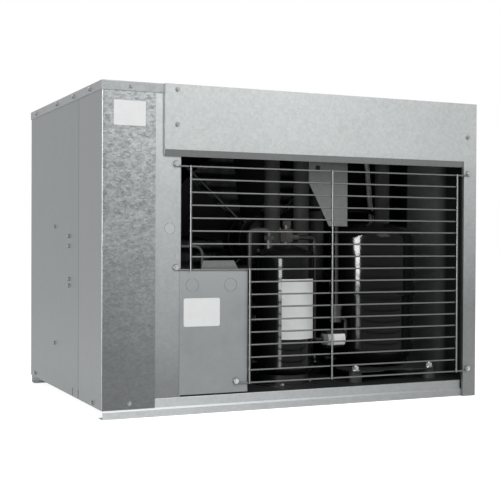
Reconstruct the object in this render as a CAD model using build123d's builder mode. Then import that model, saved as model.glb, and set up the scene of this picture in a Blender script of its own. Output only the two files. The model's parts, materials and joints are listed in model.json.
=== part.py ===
"""Air-cooled remote condensing unit: a galvanised cabinet with compressor, receiver, fan and coil.

Millimetres, +Z up. The front faces -Y and the control side is at -X.
The origin is on the floor, under the middle of the whole unit.
"""
from build123d import *
from math import cos, radians, sin
import os

os.makedirs("parts", exist_ok=True)

# cabinet
width = 863.6
depth = 596.9
height = 647.7
sheet = 1.2
bend = 2.4
hood_reach = 7.2
flange = 18.0
panel_bottom = 18.0
floor_top = 36.0
wire = 3.4
screw_head = 4.0
screw_shank = 2.1
head_radius = 4.6

guard_reach = wire + screw_head
front = guard_reach - (depth + guard_reach + screw_head) / 2
back = front + depth
left = -width / 2
right = width / 2

# planes of the sheets behind the hood's face
cover_face = front + hood_reach - sheet
skin_face = front + hood_reach
post_face = skin_face + sheet
side_skin = sheet
lining = side_skin + sheet
cover_under = height - sheet

# front openings and posts, measured from the left edge
column_width = 109.0
column_depth = 168.0
post_start = 62.0
post_end = 163.0
post_return = 30.0
hood_start = 126.0
hood_bottom = 507.0
lip_height = 13.0
lip_slope = 5.0
leg_start = 827.0
leg_end = 860.0
right_flange = 38.6
rear_flange = 22.0

# base pan
skirt_step = 17.5
step_rise = 3.5
foot_depth = 26.0
anchor_hole = 5.5
anchor_inset_x = 45.0
anchor_inset_y = 15.0

# wire guard, from the left edge and the floor
guard_top = 488.5
guard_pitch = 25.4
guard_rows = 18
short_rows = 9
guard_left = 181.0
guard_step = 308.0
guard_middle = 496.0
guard_right = 806.0
wire_overhang = 2.0
upright_wire = 4.0
loop_radius = 4.6
loop_left = 151.5
loop_cover = 280.0
loop_right = 838.0

# control box behind the left post
cover_left = 159.5
cover_right = 306.0
cover_bottom = 39.0
cover_top = 283.0
box_depth = 110.0
knock_out = 13.5
knock_gap = 0.5
knock_tab = 3.0
knock_out_z = 254.5
strip_knock = 11.0
strip_knock_x = 139.0
strip_knock_z = 366.0

# fan and motor
fan_x = left + 456.0
fan_z = 345.0
orifice = 210.0
bell_radius = 12.0
collar_length = 38.0
shroud_y = front + 370.0
shroud_step = 14.0
shroud_side = 40.0
blade_tip = 203.0
blade_count = 5
shaft_radius = 6.35
motor_radius = 54.0
motor_front = front + 226.0
motor_shell_length = 62.0
bell_length = 18.0
running = 0.05

# compressor
comp_x = right - 178.6
comp_y = front + 158.0
comp_radius = 97.0
comp_bottom = 58.0
comp_seam = 222.0
comp_top = 386.0
comp_crown = 20.0
comp_knuckle = 30.0
comp_bolts = 190.5

# receiver
rec_x = left + 440.0
rec_y = front + 112.0
rec_radius = 63.5
rec_bottom = 44.0
rec_top = 336.0
rec_dish = 24.0
rec_knuckle = 16.0
rec_foot_bolts = 62.0

# coil
coil_depth = 44.0
coil_back = back - 14.0
coil_side = 52.0
coil_top = height - 19.7
tube_pitch = 31.75
tube_radius = 6.35
hairpins = 9

# service couplings on the right
suction_y = front + 280.0
liquid_y = front + 320.0
coupling_z = 110.0
coupling_gap = 5.0
suction_coupling = 13.0
liquid_coupling = 8.0
coupling_length = 20.0

# pipes
insulation = 17.5
suction_radius = 11.1
hot_radius = 6.35
liquid_radius = 4.76
skin_gap = 0.1
top_gap = 0.5


def at(from_left, from_front, z):
    """A place given from the cabinet's left edge, its front and the floor."""
    return (left + from_left, front + from_front, z)


def folded(points, plane, radius=bend, thickness=sheet, side=Side.RIGHT):
    """Section of a folded sheet whose outer face follows the points."""
    with BuildSketch(plane) as section:
        with BuildLine():
            line = FilletPolyline(*points, radius=radius)
            offset(line, amount=thickness, side=side)
        make_face()
    return section.sketch


def piped(points, radius, bends, bore=0.0, sides=0):
    """A tube along straight runs joined by arcs, round unless a count of sides is given."""
    with BuildPart() as tube:
        with BuildLine() as route:
            line = FilletPolyline(*points, radius=bends)
        with BuildSketch(Plane(origin=line @ 0, z_dir=line % 0)):
            if sides > 0:
                RegularPolygon(radius=radius, side_count=sides)
            else:
                Circle(radius)
            if bore > 0:
                Circle(bore, mode=Mode.SUBTRACT)
        sweep(path=line)
    return tube.part


def frames(places, axis):
    """Frames at the given places, each with its Z along the axis."""
    return [Plane(origin=place, z_dir=axis) for place in places]


# Screws: each place is the middle of the head's seat, on the outer face of the top sheet
top_row = height - flange / 2
side_rows = [(85.0, top_row), (208.0, top_row), (345.0, top_row), (539.0, top_row)]
left_rows = [(243.0, 351.0), (243.0, 330.0), (243.0, 261.0), (243.0, 247.0), (362.0, 372.0), (362.0, 116.0)]
low_rows = [(65.0, 26.0), (548.0, 27.0)]
left_seats = [(left, front + y, z) for y, z in side_rows]
left_seats += [(left + side_skin, front + y, z) for y, z in left_rows + low_rows]
right_seats = [(right, front + y, z) for y, z in side_rows]
right_seats += [(right - side_skin, front + y, z) for y, z in left_rows[4:] + low_rows]
hood_seats = [at(151.0, 0, height - 10.7), at(151.0, 0, hood_bottom + 62.0)]
hood_seats += [at(leg_start + 9.0, 0, hood_bottom + 66.0)]
column_seats = [(left + 59.0, cover_face, top_row), (left + 57.0, skin_face, 29.0)]
rear_seats = [(left + x, back, top_row) for x in (12.0, width / 2, width - 12.0)]
rear_seats += [(left + x, back - sheet, 27.0) for x in (12.0, width - 12.0)]

with BuildPart() as cabinet_screws:
    for axis, seats in (
        ((-1, 0, 0), left_seats),
        ((1, 0, 0), right_seats),
        ((0, -1, 0), hood_seats + column_seats),
        ((0, 1, 0), rear_seats),
    ):
        for frame in frames(seats, axis):
            with BuildSketch(frame):
                Circle(head_radius)
            extrude(amount=1.0)
            with BuildSketch(frame.offset(1.0)):
                RegularPolygon(radius=head_radius * 0.8, side_count=6)
            extrude(amount=screw_head - 1.0)
            with BuildSketch(frame):
                RegularPolygon(radius=screw_shank, side_count=6)
            extrude(amount=-(hood_reach + 3 * sheet if axis == (0, -1, 0) else 9.0))

# Guard: it lies on the left post and on the hood's leg, so its plane leans by the step between them
guard_run = loop_right - loop_left
guard_frame = Plane(
    origin=(left + loop_left, post_face - wire / 2 - skin_gap, 0),
    x_dir=(guard_run, front - post_face, 0),
    z_dir=(front - post_face, -guard_run, 0),
)
guard_bottom = guard_top - (guard_rows - 1) * guard_pitch
cover_row = guard_top - (short_rows - 1) * guard_pitch


def guard_x(from_left):
    """Distance along the guard for a place measured from the cabinet's left edge."""
    return from_left - loop_left


loops = [
    (0.0, guard_top + loop_radius),
    (0.0, cover_row + loop_radius),
    (guard_x(loop_cover), guard_bottom + loop_radius),
    (guard_run, guard_top + loop_radius),
    (guard_run, guard_bottom + loop_radius),
]

with BuildPart() as wire_guard:
    for row in range(guard_rows):
        z = guard_top - row * guard_pitch
        start = guard_left if row < short_rows else guard_step
        start -= wire_overhang
        end = guard_right + wire_overhang
        if row in (0, short_rows - 1):
            start = loop_left
        if row == guard_rows - 1:
            start = loop_cover
        if row in (0, guard_rows - 1):
            end = loop_right
        span = end - start
        run = Plane(
            origin=guard_frame.from_local_coords((guard_x(start), z, 0)),
            z_dir=guard_frame.x_dir,
        )
        with BuildSketch(run):
            Circle(wire / 2)
        extrude(amount=span)
    for x, z in loops:
        ring = Plane(origin=guard_frame.from_local_coords((x, z, 0)), z_dir=guard_frame.z_dir)
        with BuildSketch(Plane(origin=ring.origin, x_dir=ring.x_dir, z_dir=ring.y_dir)):
            with Locations((loop_radius, 0)):
                Circle(wire / 2)
        revolve(axis=Axis(ring.origin, ring.z_dir))
    uprights = [
        (guard_left, cover_row, guard_top),
        (guard_step, guard_bottom, cover_row),
        (guard_middle, guard_bottom, guard_top),
        (guard_right, guard_bottom, guard_top),
    ]
    for x, low, high in uprights:
        reach = (wire + upright_wire) / 2 + 0.02
        foot = guard_frame.from_local_coords((guard_x(x), low - wire_overhang, reach))
        with BuildSketch(Plane(origin=foot, z_dir=(0, 0, 1))):
            Circle(upright_wire / 2)
        extrude(amount=high - low + 2 * wire_overhang)

with BuildPart() as guard_screws:
    for x, z in loops:
        seat = Plane(
            origin=guard_frame.from_local_coords((x, z, wire / 2 + skin_gap)),
            z_dir=guard_frame.z_dir,
        )
        with BuildSketch(seat):
            Circle(head_radius + 0.6)
        extrude(amount=1.0)
        with BuildSketch(seat.offset(1.0)):
            RegularPolygon(radius=head_radius * 0.8, side_count=6)
        extrude(amount=screw_head - 1.0)
        with BuildSketch(seat):
            RegularPolygon(radius=screw_shank, side_count=6)
        extrude(amount=-(wire + 8 * sheet))

# Shanks alone, which every sheet is pierced with
with BuildPart() as holes:
    for axis, seats in (
        ((-1, 0, 0), left_seats),
        ((1, 0, 0), right_seats),
        ((0, -1, 0), hood_seats + column_seats),
        ((0, 1, 0), rear_seats),
    ):
        for frame in frames(seats, axis):
            with BuildSketch(frame):
                Circle(screw_shank)
            extrude(amount=-12.0)
    for x, z in loops:
        seat = Plane(origin=guard_frame.from_local_coords((x, z, wire)), z_dir=guard_frame.z_dir)
        with BuildSketch(seat):
            Circle(screw_shank + skin_gap)
        extrude(amount=-20.0)

# Base pan: floor, front and rear skirts with a stepped lip and an anchor foot, side flanges
pan_left = left + lining + sheet
pan_right = right - lining - sheet
pan_back = back - 2 * sheet
skirt_front = [
    (cover_face + foot_depth, 0),
    (cover_face, 0),
    (cover_face, skirt_step - step_rise),
    (post_face, skirt_step),
    (post_face, floor_top),
]
skirt_back = [
    (pan_back, floor_top),
    (pan_back, skirt_step),
    (back - sheet, skirt_step - step_rise),
    (back - sheet, 0),
    (back - sheet - foot_depth, 0),
]
with BuildPart() as base_pan:
    extrude(
        folded(skirt_front + skirt_back, Plane.YZ.offset(pan_left), radius=2.0),
        amount=pan_right - pan_left,
    )
    for x in (pan_left + sheet / 2, pan_right - sheet / 2):
        with Locations((x, (post_face + pan_back) / 2, floor_top)):
            Box(
                sheet,
                pan_back - post_face - 6 * sheet,
                floor_top - panel_bottom - 2.0,
                align=(Align.CENTER, Align.CENTER, Align.MAX),
            )
    with Locations(*[
        (x, y, 0)
        for x in (left + anchor_inset_x, right - anchor_inset_x)
        for y in (cover_face + anchor_inset_y, back - sheet - anchor_inset_y)
    ]):
        Cylinder(anchor_hole, 4 * sheet, mode=Mode.SUBTRACT)
    with Locations((comp_x, comp_y, floor_top)):
        with GridLocations(comp_bolts, comp_bolts, 2, 2):
            Cylinder(4.0, 4 * sheet, mode=Mode.SUBTRACT)
    with Locations((rec_x, rec_y, floor_top)):
        with PolarLocations(rec_foot_bolts, 3):
            Cylinder(3.0, 4 * sheet, mode=Mode.SUBTRACT)
    add(holes.part, mode=Mode.SUBTRACT)

# Top cover: a tray turned over the side panels
with BuildPart() as top_cover:
    with Locations((0, (cover_face + back) / 2, height)):
        Box(
            width,
            back - cover_face,
            flange,
            align=(Align.CENTER, Align.CENTER, Align.MAX),
        )
    fillet(top_cover.edges().group_by(Axis.Z)[-1], 1.5)
    offset(amount=-sheet, openings=top_cover.faces().sort_by(Axis.Z)[0])
    add(holes.part, mode=Mode.SUBTRACT)

# Hood and right leg: one shallow pan with its open side to the cabinet and a sloped drip lip
with BuildPart() as hood_panel:
    with BuildSketch(Plane.XZ.offset(-cover_face)):
        with BuildLine():
            Polyline(
                (left + hood_start, height),
                (left + leg_end, height),
                (left + leg_end, 0),
                (left + leg_start, 0),
                (left + leg_start, hood_bottom),
                (left + hood_start, hood_bottom),
                close=True,
            )
        make_face()
    extrude(amount=hood_reach - sheet)
    face = hood_panel.faces().sort_by(Axis.Y)[0]
    lip_edge = face.edges().filter_by(Axis.X).sort_by(lambda e: abs(e.center().Z - hood_bottom))[0]
    chamfer(lip_edge, lip_height, lip_slope, reference=face)
    offset(amount=-sheet, openings=hood_panel.faces().sort_by(Axis.Y)[-1], kind=Kind.INTERSECTION)
    add(holes.part, mode=Mode.SUBTRACT)

# Left column panel: wraps the front left corner
skin_top = cover_under - top_gap
skin_height = skin_top - panel_bottom
with BuildPart() as left_column_panel:
    plan = [
        (left + column_width, skin_face),
        (left + side_skin, skin_face),
        (left + side_skin, front + column_depth),
    ]
    extrude(folded(plan, Plane.XY.offset(panel_bottom)), amount=skin_height)
    add(holes.part, mode=Mode.SUBTRACT)

# Left rear panel: laps behind the column panel, then wraps the rear corner
with BuildPart() as left_rear_panel:
    lap = front + column_depth
    plan = [
        (left + lining, lap - 20.0),
        (left + lining, lap + 1.0),
        (left + side_skin, lap + 5.0),
        (left + side_skin, back - sheet),
        (left + side_skin + rear_flange, back - sheet),
    ]
    extrude(folded(plan, Plane.XY.offset(panel_bottom), radius=1.6), amount=skin_height)
    with Locations((left + side_skin, lap + 3.0, panel_bottom), (left + side_skin, lap + 45.0, panel_bottom)):
        Box(8 * sheet, 4.0, 2 * 18.0, mode=Mode.SUBTRACT)
    add(holes.part, mode=Mode.SUBTRACT)

# Right side panel: front flange, side and rear flange in one, open where the couplings come out
with BuildPart() as right_side_panel:
    plan = [
        (right - side_skin - rear_flange, back - sheet),
        (right - side_skin, back - sheet),
        (right - side_skin, skin_face),
        (right - right_flange, skin_face),
    ]
    extrude(folded(plan, Plane.XY.offset(panel_bottom)), amount=skin_height)
    for y, radius in ((suction_y, suction_coupling), (liquid_y, liquid_coupling)):
        with Locations(Location((right, y, coupling_z), (0, 90, 0))):
            Cylinder(radius + coupling_gap, 8 * sheet, mode=Mode.SUBTRACT)
    add(holes.part, mode=Mode.SUBTRACT)

# Inner post: the folded strip that the guard and the control box hang on
with BuildPart() as inner_post:
    plan = [
        (left + post_start, post_face),
        (left + post_end, post_face),
        (left + post_end, post_face + post_return),
    ]
    extrude(folded(plan, Plane.XY.offset(floor_top), side=Side.LEFT), amount=cover_under - floor_top)
    with Locations(Location((left + strip_knock_x, post_face, strip_knock_z), (90, 0, 0))):
        Cylinder(strip_knock, 4 * sheet, mode=Mode.SUBTRACT)
    add(holes.part, mode=Mode.SUBTRACT)

# Control box on the inner post, its cover and the knock-outs
box_start = left + post_end
box_end = left + cover_right - 3.0
with BuildPart() as control_box:
    with Locations((box_start, post_face, cover_bottom + sheet)):
        Box(
            box_end - box_start,
            box_depth,
            cover_top - cover_bottom - sheet,
            align=(Align.MIN, Align.MIN, Align.MIN),
        )
    offset(amount=-sheet, openings=control_box.faces().sort_by(Axis.Y)[0])
    add(holes.part, mode=Mode.SUBTRACT)

knock_outs_at = [(left + 186.0, skin_face, knock_out_z), (left + 268.5, skin_face, knock_out_z)]
with BuildPart() as control_cover:
    with Locations((left + cover_left, skin_face, cover_bottom)):
        Box(
            cover_right - cover_left,
            sheet,
            cover_top - cover_bottom,
            align=(Align.MIN, Align.MIN, Align.MIN),
        )
    for frame in frames(knock_outs_at, (0, 1, 0)):
        with BuildSketch(frame):
            Circle(knock_out)
        extrude(amount=sheet, mode=Mode.SUBTRACT)
    add(holes.part, mode=Mode.SUBTRACT)

with BuildPart() as knock_outs:
    strip_frame = Plane(origin=(left + strip_knock_x, post_face, strip_knock_z), z_dir=(0, 1, 0))
    for frame in [*frames(knock_outs_at, (0, 1, 0)), strip_frame]:
        radius = strip_knock if frame is strip_frame else knock_out
        with BuildSketch(frame):
            Circle(radius - knock_gap)
            Rectangle(2 * radius, knock_tab)
            Circle(radius, mode=Mode.INTERSECT)
        extrude(amount=sheet)

# Light bracket that stands on the box, with its ends cut on a slant
with BuildPart() as relay_bracket:
    with BuildSketch(Plane.XZ.offset(-(front + 20.0))):
        with BuildLine():
            Polyline(
                (left + 208.0, cover_top),
                (left + 292.0, cover_top),
                (left + 280.0, cover_top + 20.0),
                (left + 214.0, cover_top + 20.0),
                close=True,
            )
        make_face()
    extrude(amount=sheet)
    with Locations((left + 250.0, front + 20.0, cover_top)):
        Box(84.0, 16.0, sheet, align=(Align.CENTER, Align.MIN, Align.MIN))

# Contactor: a moulded block with a sliding armature in its front pocket
inner_back = post_face + box_depth - sheet
contactor_x = left + 205.0
contactor_z = 185.0
contactor_depth = 62.0
armature_travel = 3.0
with BuildPart() as contactor_base:
    with Locations((contactor_x, inner_back, contactor_z)):
        Box(52.0, contactor_depth, 74.0, align=(Align.CENTER, Align.MAX, Align.CENTER))
    top_edges = contactor_base.faces().sort_by(Axis.Y)[0].edges()
    fillet(top_edges, 2.0)
    with Locations((contactor_x, inner_back - contactor_depth, contactor_z)):
        Box(24.6, 2 * 14.0, 16.6, mode=Mode.SUBTRACT)

with BuildPart() as contactor_armature:
    with Locations((contactor_x, inner_back - contactor_depth - 4.0, contactor_z)):
        Box(24.0, 14.0, 16.0, align=(Align.CENTER, Align.MIN, Align.CENTER))
    fillet(contactor_armature.faces().sort_by(Axis.Y)[0].edges(), 1.0)

capacitor_radius = 22.0
with BuildPart() as run_capacitor:
    with Locations((left + 268.0, inner_back - capacitor_radius, 150.0)):
        Cylinder(capacitor_radius, 66.0, align=(Align.CENTER, Align.CENTER, Align.MIN))
    fillet(run_capacitor.edges().group_by(Axis.Z)[-1], 2.5)
    with Locations(*[(left + 268.0 + x, inner_back - capacitor_radius, 216.0) for x in (-8.0, 8.0)]):
        Box(6.3, 0.8, 9.0, align=(Align.CENTER, Align.CENTER, Align.MIN))

with BuildPart() as terminal_block:
    with Locations((left + 231.0, inner_back, 88.0)):
        Box(104.0, 24.0, 22.0, align=(Align.CENTER, Align.MAX, Align.CENTER))
    for column in range(6):
        with Locations((left + 231.0 + (column - 2.5) * 16.5, inner_back - 24.0, 88.0)):
            Box(12.5, 2 * 8.0, 15.0, mode=Mode.SUBTRACT)

# Pressure control on the left wall, with a reset button in its front
control_left = left + lining
control_y = front + 200.0
button_x = control_left + 26.0
button_z = 318.0
button_radius = 5.0
button_travel = 3.0
with BuildPart() as pressure_control:
    with Locations((control_left, control_y, 250.0)):
        Box(52.0, 86.0, 92.0, align=(Align.MIN, Align.MIN, Align.MIN))
    fillet(pressure_control.faces().sort_by(Axis.X)[-1].edges(), 3.0)
    with BuildSketch(Plane(origin=(button_x, control_y, button_z), z_dir=(0, -1, 0))):
        Circle(button_radius + 0.3)
    extrude(amount=-16.0, mode=Mode.SUBTRACT)
    with BuildSketch(Plane(origin=(button_x, control_y + 43.0, 250.0), z_dir=(0, 0, -1))):
        Circle(16.0)
    extrude(amount=12.0)
    add(holes.part, mode=Mode.SUBTRACT)

with BuildPart() as reset_button:
    with BuildSketch(Plane(origin=(button_x, control_y - 6.0, button_z), z_dir=(0, 1, 0))):
        Circle(button_radius)
    extrude(amount=18.0)
    fillet(reset_button.edges().sort_by(Axis.Y)[0], 1.0)

# Thin lead that arches from the control box to the pressure control
with BuildPart() as control_lead:
    add(piped(
        [
            at(224.0, 50.0, cover_top),
            at(224.0, 50.0, 331.0),
            at(40.0, 50.0, 331.0),
            (left + 40.0, control_y, 331.0),
        ],
        3.0,
        18.0,
    ))

# Capillary from the pressure control's bellows to the foot of the receiver
with BuildPart() as capillary:
    add(piped(
        [
            (button_x, control_y + 43.0, 238.0),
            (button_x, control_y + 43.0, 52.0),
            (left + 345.0, control_y + 43.0, 52.0),
            (left + 345.0, rec_y, 52.0),
            (left + 345.0, rec_y, 84.0),
            (rec_x - rec_radius, rec_y, 84.0),
        ],
        1.5,
        9.0,
    ))

# Hanging bracket plate: a turned flange under the cover, a slanted corner, a hole and a curved slot
plate_y = front + 80.0
plate_left = left + 482.0
plate_right = left + 577.0
with BuildPart() as hanging_bracket:
    with BuildSketch(Plane.XZ.offset(-plate_y)):
        with BuildLine():
            Polyline(
                (plate_left, cover_under),
                (plate_right, cover_under),
                (plate_right, 375.0),
                (plate_left + 50.0, 375.0),
                (plate_left, 468.0),
                close=True,
            )
        make_face()
    extrude(amount=-2 * sheet)
    with Locations((plate_left, plate_y, cover_under)):
        Box(plate_right - plate_left, 24.0, 2 * sheet, align=(Align.MIN, Align.MIN, Align.MAX))
    with BuildSketch(Plane.XZ.offset(-plate_y)):
        with Locations((plate_left + 22.0, 500.0)):
            Circle(6.0)
            SlotArc(CenterArc((0, 0), 26.0, -70.0, 60.0), 5.0)
    extrude(amount=-4 * sheet, mode=Mode.SUBTRACT)

# Fan shroud: a folded plate across the cabinet with a bell-mouthed orifice
coil_bottom = floor_top + sheet
tube_low = (coil_bottom + coil_top - (2 * hairpins - 1) * tube_pitch) / 2
tube_high = tube_low + (2 * hairpins - 1) * tube_pitch
riser_x = right - 57.6
mouth = orifice + bell_radius
with BuildPart() as fan_shroud:
    plan = [
        (left + lining + sheet, shroud_y - shroud_step - 18.0),
        (left + lining + sheet, shroud_y - shroud_step),
        (left + shroud_side, shroud_y - shroud_step),
        (left + shroud_side, shroud_y),
        (right - shroud_side, shroud_y),
        (right - shroud_side, shroud_y - shroud_step),
        (right - lining, shroud_y - shroud_step),
        (right - lining, shroud_y - shroud_step - 18.0),
    ]
    extrude(folded(plan, Plane.XY.offset(floor_top)), amount=skin_top - floor_top)
    with BuildSketch(Plane(origin=(fan_x, shroud_y, fan_z), z_dir=(0, -1, 0))):
        Circle(mouth + 2.0)
    extrude(amount=3 * sheet, mode=Mode.SUBTRACT)
    section = [
        (mouth + 2.0, shroud_y),
        (orifice, shroud_y),
        (orifice, shroud_y - collar_length),
    ]
    bell = folded(
        section,
        Plane(origin=(fan_x, 0, fan_z), x_dir=(1, 0, 0), z_dir=(0, 0, 1)),
        radius=bell_radius,
        side=Side.LEFT,
    )
    revolve(bell, axis=Axis((fan_x, 0, fan_z), (0, 1, 0)))
    for z, radius in ((tube_high, hot_radius), (tube_low, liquid_radius)):
        with BuildSketch(Plane(origin=(riser_x, shroud_y, z), z_dir=(0, -1, 0))):
            Circle(radius + coupling_gap)
        extrude(amount=3 * sheet, mode=Mode.SUBTRACT)
    add(holes.part, mode=Mode.SUBTRACT)

# Motor: bells, shell, stator, bushes
shell_start = motor_front + bell_length
shell_end = shell_start + motor_shell_length
motor_end = shell_end + bell_length
motor_wall = 2.0
bush_radius = 10.0
stator_bore = 28.5
stator_length = 44.0
stator_start = (shell_start + shell_end - stator_length) / 2
shaft_start = motor_front + 5.0
shaft_end = front + 362.0
fan_axis = Axis((fan_x, 0, fan_z), (0, 1, 0))


def fan_frame(y):
    """Frame on the fan's axis, with its Z to the rear."""
    return Plane(origin=(fan_x, y, fan_z), x_dir=(1, 0, 0), z_dir=(0, 1, 0))


with BuildPart() as motor_shell:
    with BuildSketch(fan_frame(shell_start)):
        Circle(motor_radius)
        Circle(motor_radius - motor_wall, mode=Mode.SUBTRACT)
    extrude(amount=motor_shell_length)

with BuildPart() as motor_bolts:
    with BuildSketch(fan_frame(motor_front - 3.0)):
        with PolarLocations(35.0, 4, start_angle=45):
            RegularPolygon(radius=4.4, side_count=6)
    extrude(amount=3.0)
    with BuildSketch(fan_frame(motor_front)):
        with PolarLocations(35.0, 4, start_angle=45):
            Circle(2.2)
    extrude(amount=6.0)

bell_plan = Plane(origin=(fan_x, 0, fan_z), x_dir=(1, 0, 0), z_dir=(0, 0, 1))
with BuildPart() as motor_end_bells:
    with BuildSketch(bell_plan):
        with BuildLine():
            Polyline(
                (0, shaft_start - 3.0),
                (0, motor_front),
                (motor_radius - 14.0, motor_front),
                (motor_radius - 3.0, motor_front + 6.0),
                (motor_radius, shell_start),
                (motor_radius - 6.0, shell_start),
                (motor_radius - 9.0, shaft_start + 5.0),
                (bush_radius + 4.0, shaft_start + 5.0),
                (bush_radius + 4.0, shaft_start + 16.0),
                (bush_radius, shaft_start + 16.0),
                (bush_radius, shaft_start - 3.0),
                close=True,
            )
        make_face()
    revolve(axis=fan_axis)
    add(motor_bolts.part, mode=Mode.SUBTRACT)
    with BuildSketch(bell_plan):
        with BuildLine():
            Polyline(
                (bush_radius, motor_end),
                (motor_radius - 14.0, motor_end),
                (motor_radius - 3.0, motor_end - 6.0),
                (motor_radius, shell_end),
                (motor_radius - 6.0, shell_end),
                (motor_radius - 9.0, motor_end - 8.0),
                (bush_radius + 4.0, motor_end - 8.0),
                (bush_radius + 4.0, motor_end - 18.0),
                (bush_radius, motor_end - 18.0),
                close=True,
            )
        make_face()
    revolve(axis=fan_axis)

with BuildPart() as motor_bushes:
    for start, length in ((shaft_start, 16.0), (motor_end - 18.0, 18.0)):
        with BuildSketch(fan_frame(start)):
            Circle(bush_radius)
            Circle(shaft_radius + running, mode=Mode.SUBTRACT)
        extrude(amount=length)

with BuildPart() as motor_stator:
    with BuildSketch(fan_frame(stator_start)):
        Circle(motor_radius - motor_wall)
        Circle(stator_bore, mode=Mode.SUBTRACT)
    extrude(amount=stator_length)

with BuildPart() as motor_rotor:
    with BuildSketch(fan_frame(stator_start)):
        Circle(stator_bore - 0.5)
        Circle(shaft_radius, mode=Mode.SUBTRACT)
    extrude(amount=stator_length)

with BuildPart() as motor_shaft:
    with BuildSketch(fan_frame(shaft_start + 1.0)):
        Circle(shaft_radius)
    extrude(amount=shaft_end - shaft_start - 1.0)
    chamfer(motor_shaft.edges().sort_by(Axis.Y)[-1], 1.0)

# Wire mount: a band round the motor and four bent legs down to pads on the shroud
band_thickness = 1.5
band_width = 22.0
band_start = shell_start + 20.0
leg_radius = 3.0
pad_radius = 9.0
leg_reach = 238.0
leg_inner = motor_radius + band_thickness + leg_radius - 0.4
leg_angles = (45, 135, 225, 315)
pad_face = shroud_y - sheet
pad_thickness = 2.0


def mount_point(reach, y, angle):
    """A place at a distance from the fan's axis, in the direction of one leg."""
    return (fan_x + reach * cos(radians(angle)), y, fan_z + reach * sin(radians(angle)))


legs = [
    piped(
        [
            mount_point(leg_inner, band_start, angle),
            mount_point(leg_inner, band_start + band_width, angle),
            mount_point(leg_reach, band_start + band_width + 30.0, angle),
            mount_point(leg_reach, pad_face - pad_thickness, angle),
        ],
        leg_radius,
        10.0,
    )
    for angle in leg_angles
]
with BuildPart() as motor_mount:
    add(legs)
    for angle in leg_angles:
        with BuildSketch(Plane(origin=mount_point(leg_reach, pad_face, angle), z_dir=(0, -1, 0))):
            Circle(pad_radius)
        extrude(amount=pad_thickness)

with BuildPart() as motor_band:
    with BuildSketch(fan_frame(band_start)):
        Circle(motor_radius + band_thickness)
        Circle(motor_radius, mode=Mode.SUBTRACT)
    extrude(amount=band_width)
    add(motor_mount.part, mode=Mode.SUBTRACT)

# Fan: a pressed cup on the shaft and five cambered blades on its rim
hub_radius = 56.0
hub_start = front + 331.0
hub_length = 30.0
boss_radius = 15.0
with BuildPart() as hub_set_screw:
    with BuildSketch(Plane.XY.offset(fan_z + shaft_radius)):
        with Locations((fan_x, hub_start + 20.0)):
            Circle(3.0)
    extrude(amount=boss_radius - shaft_radius + 3.0)

with BuildPart() as fan_hub:
    with BuildSketch(fan_frame(hub_start)):
        Circle(hub_radius)
    extrude(amount=hub_length)
    fillet(fan_hub.edges().sort_by(Axis.Y)[0], 4.0)
    with BuildSketch(fan_frame(hub_start + 2.0)):
        Circle(hub_radius - 2.0)
    extrude(amount=hub_length, mode=Mode.SUBTRACT)
    with BuildSketch(fan_frame(hub_start + 2.0)):
        Circle(boss_radius)
    extrude(amount=hub_length - 6.0)
    with BuildSketch(fan_frame(hub_start)):
        Circle(shaft_radius)
    extrude(amount=hub_length, mode=Mode.SUBTRACT)
    add(hub_set_screw.part, mode=Mode.SUBTRACT)

blade_y = hub_start + hub_length / 2 - 0.5
blade_sheet = 1.8


def blade_section(reach, chord, camber, pitch, angle):
    """Curved section of a blade in the plane square to its arm."""
    arm = Plane(
        origin=mount_point(reach, blade_y, angle),
        x_dir=(-sin(radians(angle)), 0, cos(radians(angle))),
        z_dir=(cos(radians(angle)), 0, sin(radians(angle))),
    )
    with BuildSketch(arm.rotated((0, 0, pitch))) as section:
        with BuildLine():
            half = chord / 2
            ThreePointArc((-half, 0), (0, -camber), (half, 0))
            Line((half, 0), (half, blade_sheet))
            ThreePointArc((half, blade_sheet), (0, blade_sheet - camber), (-half, blade_sheet))
            Line((-half, blade_sheet), (-half, 0))
        make_face()
    return section.sketch


with BuildPart() as fan_blades:
    for blade in range(blade_count):
        angle = 83.0 + blade * 360.0 / blade_count
        loft([
            blade_section(hub_radius - 14.0, 50.0, 5.0, 26.0, angle),
            blade_section(blade_tip * 0.62, 104.0, 9.0, 17.0, angle),
            blade_section(blade_tip + 6.0, 142.0, 10.0, 11.0, angle),
        ])
    with BuildSketch(fan_frame(hub_start - 30.0)):
        Circle(blade_tip)
        Circle(hub_radius, mode=Mode.SUBTRACT)
    extrude(amount=hub_length + 60.0, mode=Mode.INTERSECT)

# Compressor: two deep-drawn shells, a foot plate on grommets, bolts, terminal cover
foot_sheet = 3.0
low_radius = comp_radius - 3.0


def upright_plan(x, y):
    """Plane through an upright axis, for turned shapes."""
    return Plane(origin=(x, y, 0), x_dir=(1, 0, 0), z_dir=(0, -1, 0))


comp_axis = Axis((comp_x, comp_y, 0), (0, 0, 1))
rec_axis = Axis((rec_x, rec_y, 0), (0, 0, 1))

service_x = right - 42.0
coil_front = coil_back - coil_depth
coil_middle = coil_back - coil_depth / 2
coil_turn_x = right - 26.0
plate_end = right - coil_side + sheet
suction_x = right - 75.6
suction_top = cover_under - 46.0
suction_turn = suction_top - 44.0
suction_route = [
    (service_x - suction_coupling + 5.0, suction_y, coupling_z),
    (suction_x, suction_y, coupling_z),
    (suction_x, suction_y, suction_top),
    (left + 455.0, suction_y, suction_top),
    at(455.0, 205.0, suction_top),
    at(455.0, 205.0, coupling_z),
    at(528.0, 205.0, coupling_z),
    at(528.0, 205.0, suction_turn),
    (comp_x - 89.0, front + 260.0, suction_turn),
    (comp_x - 89.0, front + 260.0, 262.0),
    (comp_x - 40.0, front + 190.0, 262.0),
]
sleeve_route = [
    (suction_x, suction_y, coupling_z + 30.0),
    *suction_route[2:-1],
    tuple(a + 0.275 * (b - a) for a, b in zip(suction_route[-2], suction_route[-1])),
]
suction_bend = 22.0
with BuildPart() as suction_line:
    add(piped(suction_route, suction_radius, suction_bend))

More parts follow.
